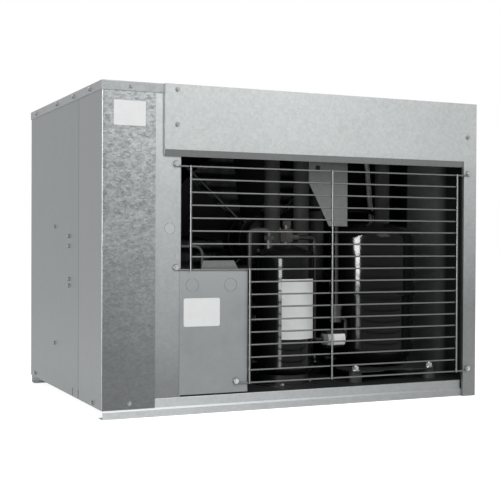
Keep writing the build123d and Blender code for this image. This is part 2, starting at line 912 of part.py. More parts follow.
with BuildPart() as line_insulation:
    add(piped(sleeve_route, insulation, suction_bend, bore=suction_radius + skin_gap))

with BuildPart() as discharge_line:
    add(piped(
        [
            (comp_x + 45.0, front + 190.0, 335.0),
            (comp_x + 45.0, front + 330.0, 335.0),
            (riser_x - 12.0, front + 330.0, 340.0),
            (riser_x - 34.0, front + 330.0, tube_high - 50.0),
            (riser_x, front + 330.0, tube_high),
            (riser_x, coil_front - 18.0, tube_high),
            (coil_turn_x, coil_front - 18.0, tube_high),
            (coil_turn_x, coil_middle, tube_high),
            (plate_end + 6.0, coil_middle, tube_high),
        ],
        hot_radius,
        12.0,
    ))

with BuildPart() as compressor_lower_shell:
    with BuildSketch(upright_plan(comp_x, comp_y)):
        with BuildLine():
            base = Polyline((0, comp_seam), (0, comp_bottom + foot_sheet), (46.0, comp_bottom + foot_sheet))
            drawn = TangentArc(base @ 1, (low_radius, comp_bottom + 46.0), tangent=(1, 0))
            Polyline(drawn @ 1, (low_radius, comp_seam), (0, comp_seam))
        make_face()
    revolve(axis=comp_axis)

with BuildPart() as compressor_upper_shell:
    with BuildSketch(upright_plan(comp_x, comp_y)) as profile:
        with BuildLine():
            Polyline(
                (0, comp_seam),
                (comp_radius + 3.0, comp_seam),
                (comp_radius + 3.0, comp_seam + 3.0),
                (comp_radius, comp_seam + 7.0),
                (comp_radius, comp_top - comp_crown),
            )
            TangentArc((0, comp_top), (comp_radius, comp_top - comp_crown), tangent=(1, 0))
            Line((0, comp_top), (0, comp_seam))
        make_face()
        fillet(profile.vertices().sort_by(lambda corner: corner.X + corner.Y)[-1], comp_knuckle)
    revolve(axis=comp_axis)
    add(suction_line.part, mode=Mode.SUBTRACT)
    add(discharge_line.part, mode=Mode.SUBTRACT)

bolt_half = comp_bolts / 2
with BuildPart() as compressor_feet:
    with BuildSketch(Plane.XY.offset(comp_bottom)):
        with Locations((comp_x, comp_y)):
            RectangleRounded(comp_bolts + 34.0, comp_bolts + 34.0, 17.0)
            with PolarLocations(comp_bolts * 0.78, 4):
                Circle(52.0, mode=Mode.SUBTRACT)
            with GridLocations(comp_bolts, comp_bolts, 2, 2):
                Circle(4.0, mode=Mode.SUBTRACT)
    extrude(amount=foot_sheet)

with BuildPart() as compressor_grommets:
    with BuildSketch(Plane.XY.offset(floor_top)):
        with Locations((comp_x, comp_y)):
            with GridLocations(comp_bolts, comp_bolts, 2, 2):
                Circle(14.0)
                Circle(4.0, mode=Mode.SUBTRACT)
    extrude(amount=comp_bottom - floor_top)

washer_top = comp_bottom + foot_sheet + 2.0
with BuildPart() as compressor_bolts:
    bolt_spots = [
        (comp_x + i * bolt_half, comp_y + j * bolt_half) for i in (-1, 1) for j in (-1, 1)
    ]
    with BuildSketch(Plane.XY.offset(floor_top - sheet - 5.0)):
        with Locations(*bolt_spots):
            RegularPolygon(radius=7.0, side_count=6)
    extrude(amount=5.0)
    with BuildSketch(Plane.XY.offset(floor_top - sheet)):
        with Locations(*bolt_spots):
            Circle(4.0)
    extrude(amount=washer_top + 13.0 - floor_top)
    with BuildSketch(Plane.XY.offset(washer_top - 2.0)):
        with Locations(*bolt_spots):
            Circle(11.0)
    extrude(amount=2.0)
    with BuildSketch(Plane.XY.offset(washer_top)):
        with Locations(*bolt_spots):
            RegularPolygon(radius=7.5, side_count=6)
    extrude(amount=7.0)

with BuildPart() as terminal_cover:
    with Locations((comp_x + comp_radius * 0.55, comp_y + comp_radius * 0.55, 285.0)):
        Box(70.0, 70.0, 74.0)
    fillet(terminal_cover.edges(), 8.0)
    with Locations((comp_x, comp_y, 285.0)):
        Cylinder(comp_radius, 100.0, mode=Mode.SUBTRACT)

# Receiver: shell on a foot ring, outlet valve and inlet elbow on top
with BuildPart() as receiver_foot:
    with BuildSketch(Plane.XY.offset(floor_top)):
        with Locations((rec_x, rec_y)):
            Circle(rec_radius - 10.0)
            Circle(rec_radius - 13.0, mode=Mode.SUBTRACT)
    extrude(amount=rec_bottom + 14.3 - floor_top)
    with BuildSketch(Plane.XY.offset(floor_top)):
        with Locations((rec_x, rec_y)):
            Circle(rec_radius + 6.0)
            Circle(rec_radius - 13.0, mode=Mode.SUBTRACT)
            with PolarLocations(rec_foot_bolts, 3):
                Circle(3.0, mode=Mode.SUBTRACT)
    extrude(amount=2.5)

with BuildPart() as receiver_bolts:
    with BuildSketch(Plane.XY.offset(floor_top - sheet)):
        with Locations((rec_x, rec_y)):
            with PolarLocations(rec_foot_bolts, 3):
                Circle(3.0)
    extrude(amount=sheet + 2.5)
    with BuildSketch(Plane.XY.offset(floor_top + 2.5)):
        with Locations((rec_x, rec_y)):
            with PolarLocations(rec_foot_bolts, 3):
                RegularPolygon(radius=5.5, side_count=6)
    extrude(amount=4.0)

outlet_x = rec_x + 6.0
inlet_x = rec_x - 36.0
valve_base = rec_top - 14.0
with BuildPart() as receiver_shell:
    with BuildSketch(upright_plan(rec_x, rec_y)):
        with BuildLine():
            TangentArc((0, rec_bottom), (rec_radius, rec_bottom + rec_dish), tangent=(1, 0))
            Line((rec_radius, rec_bottom + rec_dish), (rec_radius, rec_top - rec_dish))
            TangentArc((0, rec_top), (rec_radius, rec_top - rec_dish), tangent=(1, 0))
            Line((0, rec_top), (0, rec_bottom))
        make_face()
    revolve(axis=rec_axis)
    fillet(receiver_shell.edges().filter_by(GeomType.CIRCLE), rec_knuckle)
    for x, radius in ((outlet_x, 11.0), (inlet_x, 9.0)):
        with BuildSketch(Plane.XY.offset(valve_base)):
            with Locations((x, rec_y)):
                Circle(radius)
        extrude(amount=30.0, mode=Mode.SUBTRACT)

valve_top = 368.0
stem_radius = 3.4
outlet_z = 350.0
liquid_x = outlet_x + 24.0
drier_x = left + 560.0
drier_z = 127.0
drier_radius = 20.0
drier_half = 26.0
drier_turn = drier_x + drier_half + 5.5
valve_inlet = 171.0
valve_x = left + 568.0
liquid_drop = right - 83.6
return_y = front + 290.0
with BuildPart() as receiver_line:
    add(piped(
        [
            (liquid_x - 8.0, rec_y, outlet_z),
            (left + 513.0, rec_y, outlet_z),
            (left + 513.0, rec_y, drier_z),
            (drier_x - drier_half + 3.0, rec_y, drier_z),
        ],
        liquid_radius,
        8.0,
    ))
with BuildPart() as receiver_valve:
    with BuildSketch(Plane.XY.offset(valve_base)):
        with Locations((outlet_x, rec_y)):
            Circle(11.0)
    extrude(amount=20.0)
    with BuildSketch(Plane.XY.offset(valve_base + 18.0)):
        with Locations((outlet_x, rec_y)):
            RegularPolygon(radius=15.0, side_count=6)
    extrude(amount=valve_top - valve_base - 18.0)
    with BuildSketch(Plane(origin=(outlet_x, rec_y, outlet_z), z_dir=(1, 0, 0))):
        Circle(9.0)
    extrude(amount=24.0)
    with BuildSketch(Plane.XY.offset(valve_top)):
        with Locations((outlet_x, rec_y)):
            Circle(9.0)
    extrude(amount=8.0)
    with BuildSketch(Plane.XY.offset(valve_top - 10.0)):
        with Locations((outlet_x, rec_y)):
            Circle(stem_radius + running)
    extrude(amount=30.0, mode=Mode.SUBTRACT)
    add(receiver_line.part, mode=Mode.SUBTRACT)

with BuildPart() as drier_line:
    add(piped(
        [
            (drier_x + drier_half - 3.0, rec_y, drier_z),
            (drier_turn, rec_y, drier_z),
            (drier_turn, rec_y, valve_inlet),
            (valve_x + 5.0, rec_y, valve_inlet),
        ],
        liquid_radius,
        8.0,
    ))

with BuildPart() as filter_drier:
    with BuildSketch(Plane(origin=(drier_x, rec_y, drier_z), x_dir=(1, 0, 0), z_dir=(0, -1, 0))):
        with BuildLine():
            Polyline(
                (-drier_half, 0),
                (-drier_half, 8.0),
                (-drier_half + 5.0, drier_radius),
                (drier_half - 5.0, drier_radius),
                (drier_half, 8.0),
                (drier_half, 0),
                close=True,
            )
        make_face()
    revolve(axis=Axis((drier_x, rec_y, drier_z), (1, 0, 0)))
    add(receiver_line.part, mode=Mode.SUBTRACT)
    add(drier_line.part, mode=Mode.SUBTRACT)

with BuildPart() as head_pressure_valve:
    with BuildSketch(Plane.XY.offset(164.0)):
        with Locations((valve_x, rec_y)):
            Circle(12.0)
    extrude(amount=30.0)
    with BuildSketch(Plane.XY.offset(194.0)):
        with Locations((valve_x, rec_y)):
            Circle(14.0)
    extrude(amount=9.0)
    fillet(head_pressure_valve.edges().sort_by(Axis.Z)[-1], 3.0)
    add(drier_line.part, mode=Mode.SUBTRACT)

with BuildPart() as liquid_line:
    add(piped(
        [
            (valve_x, rec_y, 203.0),
            (valve_x, rec_y, 415.0),
            (valve_x, front + 305.0, 415.0),
            (liquid_drop, front + 305.0, 415.0),
            (liquid_drop, front + 305.0, 160.0),
            (liquid_drop, liquid_y, coupling_z),
            (service_x - liquid_coupling + 4.0, liquid_y, coupling_z),
        ],
        liquid_radius,
        14.0,
    ))

with BuildPart() as condensate_line:
    add(piped(
        [
            (plate_end + 6.0, coil_middle, tube_low),
            (coil_turn_x, coil_middle, tube_low),
            (coil_turn_x, coil_front - 18.0, tube_low),
            (riser_x, coil_front - 18.0, tube_low),
            (riser_x, return_y, tube_low),
            (rec_x - 74.0, return_y, tube_low),
            (rec_x - 74.0, rec_y + 18.0, tube_low),
            (rec_x - 74.0, rec_y + 18.0, 366.0),
            (inlet_x, rec_y, 366.0),
            (inlet_x, rec_y, valve_base + 12.0),
        ],
        liquid_radius,
        12.0,
    ))

with BuildPart() as receiver_inlet:
    with BuildSketch(Plane.XY.offset(valve_base)):
        with Locations((inlet_x, rec_y)):
            Circle(9.0)
    extrude(amount=24.0)
    with BuildSketch(Plane.XY.offset(valve_base + 22.0)):
        with Locations((inlet_x, rec_y)):
            RegularPolygon(radius=12.0, side_count=6)
    extrude(amount=9.0)
    add(condensate_line.part, mode=Mode.SUBTRACT)

# Service valves on a bracket inside the right panel, flare ends level with the panel
bonnet_radius = 8.5
bonnet_rise = 16.0
stem_seat = 4.0


def service_valve(y, radius):
    """Valve body with a flare end to the right and a bored bonnet on top."""
    with BuildPart() as valve:
        with BuildSketch(Plane(origin=(service_x - radius, y, coupling_z), z_dir=(1, 0, 0))):
            Circle(radius + 2.0)
        extrude(amount=2 * radius)
        with BuildSketch(Plane(origin=(right, y, coupling_z), z_dir=(-1, 0, 0))):
            Circle(radius)
        extrude(amount=right - service_x)
        with BuildSketch(Plane(origin=(right - coupling_length, y, coupling_z), z_dir=(-1, 0, 0))):
            RegularPolygon(radius=radius * 1.3, side_count=6)
        extrude(amount=6.0)
        with BuildSketch(Plane.XY.offset(coupling_z)):
            with Locations((service_x, y)):
                Circle(bonnet_radius)
        extrude(amount=radius + bonnet_rise)
        with BuildSketch(Plane.XY.offset(coupling_z + radius + stem_seat)):
            with Locations((service_x, y)):
                Circle(stem_radius + running)
        extrude(amount=30.0, mode=Mode.SUBTRACT)
    return valve.part


with BuildPart() as suction_service_valve:
    add(service_valve(suction_y, suction_coupling))
    add(suction_line.part, mode=Mode.SUBTRACT)

with BuildPart() as liquid_service_valve:
    add(service_valve(liquid_y, liquid_coupling))
    add(liquid_line.part, mode=Mode.SUBTRACT)

with BuildPart() as valve_bracket:
    bracket_half = (liquid_y - suction_y) / 2 + 17.0
    bracket_middle = (suction_y + liquid_y) / 2
    with Locations((service_x, bracket_middle, floor_top)):
        Box(
            2 * sheet,
            2 * bracket_half,
            coupling_z + 4.0 - floor_top,
            align=(Align.CENTER, Align.CENTER, Align.MIN),
        )
        Box(24.0, 2 * bracket_half, 2 * sheet, align=(Align.MIN, Align.CENTER, Align.MIN))
    for y, radius in ((suction_y, suction_coupling), (liquid_y, liquid_coupling)):
        with BuildSketch(Plane(origin=(service_x - 10.0, y, coupling_z), z_dir=(1, 0, 0))):
            Circle(radius + 2.0)
        extrude(amount=20.0, mode=Mode.SUBTRACT)

# Valve stems: each turns in its bonnet, with square flats for a key
stem_rise = 7.0
stem_gap = 0.5


def valve_stem(x, y, seat, top):
    """Round stem with a squared end, standing just clear of its seat."""
    with BuildPart() as stem:
        with BuildSketch(Plane.XY.offset(seat + stem_gap)):
            with Locations((x, y)):
                Circle(stem_radius)
        extrude(amount=top - seat - stem_gap)
        with BuildSketch(Plane.XY.offset(top)):
            with Locations((x, y)):
                Rectangle(4.6, 4.6)
        extrude(amount=stem_rise - 1.0)
    return stem.part


bonnet_tops = [
    (service_x, suction_y, coupling_z + suction_coupling + bonnet_rise),
    (service_x, liquid_y, coupling_z + liquid_coupling + bonnet_rise),
    (outlet_x, rec_y, valve_top + 8.0),
]
with BuildPart() as suction_stem:
    add(valve_stem(*bonnet_tops[0][:2], coupling_z + suction_coupling + stem_seat, bonnet_tops[0][2]))

with BuildPart() as liquid_stem:
    add(valve_stem(*bonnet_tops[1][:2], coupling_z + liquid_coupling + stem_seat, bonnet_tops[1][2]))

with BuildPart() as receiver_stem:
    add(valve_stem(*bonnet_tops[2][:2], valve_top - 10.0, bonnet_tops[2][2]))

with BuildPart() as valve_caps:
    for x, y, z in bonnet_tops:
        with BuildSketch(Plane.XY.offset(z)):
            with Locations((x, y)):
                RegularPolygon(radius=bonnet_radius + 1.5, side_count=6)
        extrude(amount=stem_rise + 3.0)
        with BuildSketch(Plane.XY.offset(z)):
            with Locations((x, y)):
                Circle(stem_radius + 1.6)
        extrude(amount=stem_rise, mode=Mode.SUBTRACT)

# Coil: hairpins through a fin pack, return bends on the right, flanged plates at both ends
fins_left = left + coil_side
fins_right = right - coil_side
tube_out = 6.0
hairpin_left = fins_left - tube_out - tube_pitch / 2
bend_round = tube_pitch / 2 - 0.05
with BuildPart() as coil_tubes:
    for pair in range(hairpins):
        z = tube_low + 2 * pair * tube_pitch
        add(piped(
            [
                (plate_end + tube_out, coil_middle, z),
                (hairpin_left, coil_middle, z),
                (hairpin_left, coil_middle, z + tube_pitch),
                (plate_end + tube_out, coil_middle, z + tube_pitch),
            ],
            tube_radius,
            bend_round,
            sides=8,
        ))
    for pair in range(hairpins - 1):
        z = tube_low + (2 * pair + 1) * tube_pitch
        turn = plate_end + tube_out + tube_pitch / 2
        add(piped(
            [
                (plate_end + tube_out, coil_middle, z),
                (turn, coil_middle, z),
                (turn, coil_middle, z + tube_pitch),
                (plate_end + tube_out, coil_middle, z + tube_pitch),
            ],
            tube_radius,
            bend_round,
            sides=8,
        ))

with BuildPart() as coil_fins:
    with Locations((0, coil_middle, coil_bottom)):
        Box(
            fins_right - fins_left,
            coil_depth,
            coil_top - coil_bottom,
            align=(Align.CENTER, Align.CENTER, Align.MIN),
        )
    add(coil_tubes.part, mode=Mode.SUBTRACT)

with BuildPart() as coil_end_plates:
    left_plan = [
        (fins_left, coil_front - 12.0),
        (fins_left, coil_back),
        (left + lining + 0.2, coil_back),
    ]
    right_plan = [
        (fins_right, coil_front - 12.0),
        (fins_right, coil_back),
        (right - lining - 0.2, coil_back),
    ]
    plate_height = coil_top - floor_top
    extrude(folded(left_plan, Plane.XY.offset(floor_top), radius=1.6, side=Side.LEFT), amount=plate_height)
    extrude(folded(right_plan, Plane.XY.offset(floor_top), radius=1.6), amount=plate_height)
    add(coil_tubes.part, mode=Mode.SUBTRACT)

# Blank labels
label_sheet = 0.3
with BuildPart() as column_label:
    with BuildSketch(Plane.XZ.offset(-skin_face)):
        with Locations((left + 56.5, 587.0)):
            RectangleRounded(64.0, 48.0, 1.5)
    extrude(amount=label_sheet)

with BuildPart() as cover_label:
    with BuildSketch(Plane.XZ.offset(-skin_face)):
        with Locations((left + 206.5, 201.0)):
            RectangleRounded(77.0, 56.0, 4.0)
    extrude(amount=label_sheet)

with BuildPart() as receiver_label:
    with BuildSketch(Plane(
        origin=(rec_x, rec_y, 0),
        x_dir=(cos(radians(-121)), sin(radians(-121)), 0),
        z_dir=(-sin(radians(-121)) * -1, -cos(radians(-121)), 0),
    )):
        with Locations((rec_radius + label_sheet / 2 + 0.02, 198.5)):
            Rectangle(label_sheet, 127.0)
    revolve(axis=rec_axis, revolution_arc=79)

with BuildPart() as mounting_bolts:
    add(compressor_bolts.part)
    add(receiver_bolts.part)

with BuildPart() as liquid_lines:
    add(receiver_line.part)
    add(drier_line.part)
    add(liquid_line.part)

with BuildPart() as coil_lines:
    add(discharge_line.part)
    add(condensate_line.part)

with BuildPart() as receiver_fittings:
    add(receiver_valve.part)
    add(receiver_inlet.part)

with BuildPart() as service_valves:
    add(suction_service_valve.part)
    add(liquid_service_valve.part)

with BuildPart() as blank_labels:
    add(column_label.part)
    add(cover_label.part)
    add(receiver_label.part)

with BuildPart() as motor_wire_mount:
    add(motor_mount.part)
    add(motor_band.part)

pieces = {
    "cabinet_screws": cabinet_screws,
    "blank_labels": blank_labels,
    "service_valves": service_valves,
    "receiver_fittings": receiver_fittings,
    "coil_lines": coil_lines,
    "liquid_lines": liquid_lines,
    "mounting_bolts": mounting_bolts,
    "wire_guard": wire_guard,
    "guard_screws": guard_screws,
    "base_pan": base_pan,
    "top_cover": top_cover,
    "hood_panel": hood_panel,
    "left_column_panel": left_column_panel,
    "left_rear_panel": left_rear_panel,
    "right_side_panel": right_side_panel,
    "inner_post": inner_post,
    "control_box": control_box,
    "control_cover": control_cover,
    "knock_outs": knock_outs,
    "relay_bracket": relay_bracket,
    "contactor_base": contactor_base,
    "contactor_armature": contactor_armature,
    "run_capacitor": run_capacitor,
    "terminal_block": terminal_block,
    "pressure_control": pressure_control,
    "reset_button": reset_button,
    "control_lead": control_lead,
    "capillary": capillary,
    "hanging_bracket": hanging_bracket,
    "fan_shroud": fan_shroud,
    "motor_shell": motor_shell,
    "motor_end_bells": motor_end_bells,
    "motor_bolts": motor_bolts,
    "motor_bushes": motor_bushes,
    "motor_stator": motor_stator,
    "motor_rotor": motor_rotor,
    "motor_shaft": motor_shaft,
    "motor_mount": motor_wire_mount,
    "fan_hub": fan_hub,
    "fan_blades": fan_blades,
    "hub_set_screw": hub_set_screw,
    "compressor_lower_shell": compressor_lower_shell,
    "compressor_upper_shell": compressor_upper_shell,
    "compressor_feet": compressor_feet,
    "compressor_grommets": compressor_grommets,
    "terminal_cover": terminal_cover,
    "suction_line": suction_line,
    "line_insulation": line_insulation,
    "receiver_shell": receiver_shell,
    "receiver_foot": receiver_foot,
    "filter_drier": filter_drier,
    "head_pressure_valve": head_pressure_valve,
    "valve_bracket": valve_bracket,
    "suction_stem": suction_stem,
    "liquid_stem": liquid_stem,
    "receiver_stem": receiver_stem,
    "valve_caps": valve_caps,
    "coil_fins": coil_fins,
    "coil_tubes": coil_tubes,
    "coil_end_plates": coil_end_plates,
}
for name, piece in pieces.items():
    piece.part.label = name
    export_step(piece.part, f"parts/{name}.step")
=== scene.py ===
"""Looks for the air-cooled condensing unit: materials, small details, floor, light and camera."""

import json
import math

import bmesh
import bpy
from mathutils import Matrix, Vector


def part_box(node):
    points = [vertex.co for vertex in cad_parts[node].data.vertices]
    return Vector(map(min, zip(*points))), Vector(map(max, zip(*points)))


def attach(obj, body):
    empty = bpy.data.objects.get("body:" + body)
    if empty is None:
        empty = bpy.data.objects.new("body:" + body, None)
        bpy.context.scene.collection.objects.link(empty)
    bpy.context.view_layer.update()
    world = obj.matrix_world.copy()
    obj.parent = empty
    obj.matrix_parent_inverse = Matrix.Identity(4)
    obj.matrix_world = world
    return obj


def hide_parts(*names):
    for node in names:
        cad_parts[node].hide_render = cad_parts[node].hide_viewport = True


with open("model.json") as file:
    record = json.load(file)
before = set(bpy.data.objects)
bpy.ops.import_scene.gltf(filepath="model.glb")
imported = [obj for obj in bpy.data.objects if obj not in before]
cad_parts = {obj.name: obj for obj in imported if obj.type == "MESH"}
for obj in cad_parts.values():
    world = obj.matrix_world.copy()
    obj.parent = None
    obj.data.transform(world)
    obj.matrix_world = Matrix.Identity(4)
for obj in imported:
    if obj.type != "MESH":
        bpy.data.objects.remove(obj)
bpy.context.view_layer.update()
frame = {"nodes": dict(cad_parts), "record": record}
nodes = frame["nodes"]

# Sizes in metres, from the cabinet and from the frame
MM = 0.001
width = 0.8636
depth = 0.5969
sheet = 1.2 * MM
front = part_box("hood_panel")[0][1]
left = -width / 2
right = width / 2
back = front + depth
inner_side = right - 1.5 * sheet
pan_floor = 35.5 * MM
riser_bend = 0.20
fins_back = back - 50 * MM
label_divide = front + 30 * MM
tube_pitch = 31.75 * MM
tube_row = (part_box("coil_fins")[0][2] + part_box("coil_fins")[1][2] + tube_pitch) / 2
drier_low, drier_high = (Vector(corner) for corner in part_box("filter_drier"))
drier_middle = (drier_low + drier_high) / 2
black = (0.0, 0.0, 0.0)


def at(x, y, z):
    """A place given in mm from the cabinet's left edge, its front and the floor."""
    return Vector((left + x * MM, front + y * MM, z * MM))


class Tree:
    """Short ways to make and join shader nodes in one material."""

    def __init__(self, name):
        self.material = bpy.data.materials.new(name)
        self.material.use_nodes = True
        self.nodes = self.material.node_tree.nodes
        self.links = self.material.node_tree.links
        self.shader = self.nodes["Principled BSDF"]
        self.object_place = self.nodes.new("ShaderNodeTexCoord").outputs["Object"]
        self.place = self.object_place

    def link(self, a, b):
        self.links.new(a, b)

    def put(self, socket, value):
        if isinstance(value, bpy.types.NodeSocket):
            self.links.new(value, socket)
        else:
            socket.default_value = value

    def math(self, operation, a, b=0.0):
        node = self.nodes.new("ShaderNodeMath")
        node.operation = operation
        self.put(node.inputs[0], a)
        self.put(node.inputs[1], b)
        return node.outputs[0]

    def total(self, shares):
        """The sum of several values, each times its share."""
        parts = [self.math("MULTIPLY", value, share) for value, share in shares]
        whole = parts[0]
        for part in parts[1:]:
            whole = self.math("ADD", whole, part)
        return whole

    def noise(self, scale, detail=3.0, rough=0.5, place=None):
        node = self.nodes.new("ShaderNodeTexNoise")
        node.inputs["Scale"].default_value = scale
        node.inputs["Detail"].default_value = detail
        node.inputs["Roughness"].default_value = rough
        self.link(place or self.place, node.inputs["Vector"])
        return node.outputs["Fac"]

    def stretch(self, x, y, z):
        node = self.nodes.new("ShaderNodeMapping")
        node.inputs["Scale"].default_value = (x, y, z)
        self.link(self.place, node.inputs["Vector"])
        return node.outputs["Vector"]

    def warped(self, amount, scale):
        """The place, pushed about by noise."""
        noise = self.nodes.new("ShaderNodeTexNoise")
        noise.inputs["Scale"].default_value = scale
        noise.inputs["Detail"].default_value = 2.0
        self.link(self.place, noise.inputs["Vector"])
        shift = self.nodes.new("ShaderNodeVectorMath")
        shift.operation = "SUBTRACT"
        shift.inputs[1].default_value = (0.5, 0.5, 0.5)
        self.link(noise.outputs["Color"], shift.inputs[0])
        small = self.nodes.new("ShaderNodeVectorMath")
        small.operation = "SCALE"
        small.inputs["Scale"].default_value = amount
        self.link(shift.outputs[0], small.inputs[0])
        moved = self.nodes.new("ShaderNodeVectorMath")
        self.link(self.place, moved.inputs[0])
        self.link(small.outputs[0], moved.inputs[1])
        return moved.outputs[0]

    def cells(self, scale, place):
        """One random grey per crystal."""
        node = self.nodes.new("ShaderNodeTexVoronoi")
        node.inputs["Scale"].default_value = scale
        self.link(place, node.inputs["Vector"])
        split = self.nodes.new("ShaderNodeSeparateColor")
        self.link(node.outputs["Color"], split.inputs[0])
        return split.outputs[0]

    def span(self, value, low, high, out_low, out_high):
        """The value carried from one range to another, and held at its ends."""
        node = self.nodes.new("ShaderNodeMapRange")
        node.inputs["From Min"].default_value = low
        node.inputs["From Max"].default_value = high
        node.inputs["To Min"].default_value = out_low
        node.inputs["To Max"].default_value = out_high
        self.link(value, node.inputs["Value"])
        return node.outputs["Result"]

    def mix(self, factor, a, b, blend="MIX"):
        node = self.nodes.new("ShaderNodeMix")
        node.data_type = "RGBA"
        node.blend_type = blend
        self.put(node.inputs["Factor"], factor)
        self.put(node.inputs[6], a if isinstance(a, bpy.types.NodeSocket) else (*a, 1.0))
        self.put(node.inputs[7], b if isinstance(b, bpy.types.NodeSocket) else (*b, 1.0))
        return node.outputs[2]

    def axis(self, name):
        split = self.nodes.new("ShaderNodeSeparateXYZ")
        self.link(self.place, split.inputs[0])
        return split.outputs[name]

    def facing(self, name):
        """How far the surface faces along one axis."""
        split = self.nodes.new("ShaderNodeSeparateXYZ")
        self.link(self.nodes.new("ShaderNodeNewGeometry").outputs["Normal"], split.inputs[0])
        return split.outputs[name]

    def bump(self, height, strength, distance, under=None):
        node = self.nodes.new("ShaderNodeBump")
        node.inputs["Strength"].default_value = strength
        node.inputs["Distance"].default_value = distance
        self.link(height, node.inputs["Height"])
        if under:
            self.link(under, node.inputs["Normal"])
        return node.outputs["Normal"]

    def finish(self, colour, rough, metal, normal, specular=0.5):
        """The material, with its colour, roughness and bump from nodes."""
        sockets = self.shader.inputs
        self.link(colour, sockets["Base Color"])
        self.link(rough, sockets["Roughness"])
        self.link(normal, sockets["Normal"])
        sockets["Metallic"].default_value = metal
        sockets["Specular IOR Level"].default_value = specular
        return self.material


# Material makers
def galvanised(name, tone, spangle, contrast, painted_shades=(), painted_inner_shade=None, under=1.0, flat=1.0,
               band=None, plain_side=None, calm=None):
    """Zinc-coated sheet with crystals of several sizes and cloudy bloom, with painted light and shade where
    asked.

    spangle: a crystal's size, and contrast: how far crystals differ in tone
    painted_shades: (axis, low, high, tone at low, tone at high), painted shade as a drift of tone along an
    axis
    painted_inner_shade: (axis, edge, past it or short of it, loss of tone), painted shade on the side that
    faces into the cabinet
    band: (axis, low, high, gain), painted light on a stretch of that inner face, where light reaches in
    under: painted shade on what faces down, as the tone kept there
    flat: how far the crystals are squeezed in height
    plain_side: (tone, share of the mottle kept), an even tone on the flank that faces left, without the
    painted shade
    calm: (low, high, share at low, share at high), how much of the mottle is kept over the height
    """
    metal = 0.55
    rough = 0.42
    tree = Tree(name)
    if flat > 1.0:
        tree.place = tree.stretch(1.0, 1.0, flat)
    warped = tree.warped(spangle * 0.9, 0.7 / spangle)
    coarse = tree.cells(1 / spangle, warped)
    fine = tree.cells(2.7 / spangle, warped)
    cloud = tree.noise(9.0, detail=4.0, rough=0.6)
    grain = tree.noise(900.0, detail=2.0, rough=0.6)
    mottle = tree.noise(0.55 / spangle, rough=0.62)
    mixed = tree.total(((coarse, 0.26), (fine, 0.16), (mottle, 0.38), (cloud, 0.20)))
    light = tree.span(mixed, 0.25, 0.75, 1.0 - contrast, 1.0 + contrast)
    light = tree.math("MULTIPLY", light, tree.span(grain, 0.2, 0.8, 0.97, 1.03))
    tree.place = tree.object_place
    if calm:
        keep = tree.span(tree.axis("Z"), *calm)
        light = tree.math("ADD", tree.math("MULTIPLY", tree.math("SUBTRACT", light, 1.0), keep), 1.0)
    mottled = light
    # Painted shade: the tone drifts along an axis, with a little wander
    for axis, low, high, low_tone, high_tone in painted_shades:
        wander = tree.span(tree.noise(5.0), 0.0, 1.0, -60 * MM, 60 * MM)
        drift = tree.math("ADD", tree.axis(axis), wander)
        light = tree.math("MULTIPLY", light, tree.span(drift, low, high, low_tone, high_tone))
    # The flank that faces left takes an even tone in place of the painted shade
    if plain_side:
        level, keep = plain_side
        even = tree.math("ADD", tree.math("MULTIPLY", mottled, keep * level), (1.0 - keep) * level)
        beside = tree.span(tree.facing("X"), -0.6, -0.3, 1.0, 0.0)
        even = tree.math("MULTIPLY", tree.math("SUBTRACT", even, light), beside)
        light = tree.math("ADD", light, even)
    # Painted shade past the edge, on the side that faces into the cabinet
    if painted_inner_shade:
        axis, edge, past, loss = painted_inner_shade
        within = tree.math("GREATER_THAN" if past else "LESS_THAN", tree.axis(axis), edge)
        # Painted light: a stretch of the inner face is made lighter again
        if band:
            axis, low, high, gain = band
            painted_light = tree.span(tree.axis(axis), low - 30 * MM, low + 10 * MM, 0.0, gain)
            cut_off = tree.span(tree.axis(axis), high - 3 * MM, high + 3 * MM, 1.0, 0.0)
            loss = tree.math("SUBTRACT", loss, tree.math("MULTIPLY", painted_light, cut_off))
        kept = tree.math("SUBTRACT", 1.0, tree.math("MULTIPLY", within, loss))
        light = tree.math("MULTIPLY", light, kept)
    # Painted shade on faces that point down
    if under < 1.0:
        light = tree.math("MULTIPLY", light, tree.span(tree.facing("Z"), -0.30, -0.05, under, 1.0))
    grey = tree.nodes.new("ShaderNodeCombineColor")
    for i, part in enumerate(tone):
        tree.put(grey.inputs[i], tree.math("MULTIPLY", light, part))
    roughness = tree.span(mixed, 0.1, 0.9, rough - 0.07, rough + 0.09)
    normal = tree.bump(coarse, 0.05, 0.4 * MM)
    normal = tree.bump(tree.noise(14.0, detail=2.0), 0.10, 4 * MM, normal)
    return tree.finish(grey.outputs[0], roughness, metal, normal)


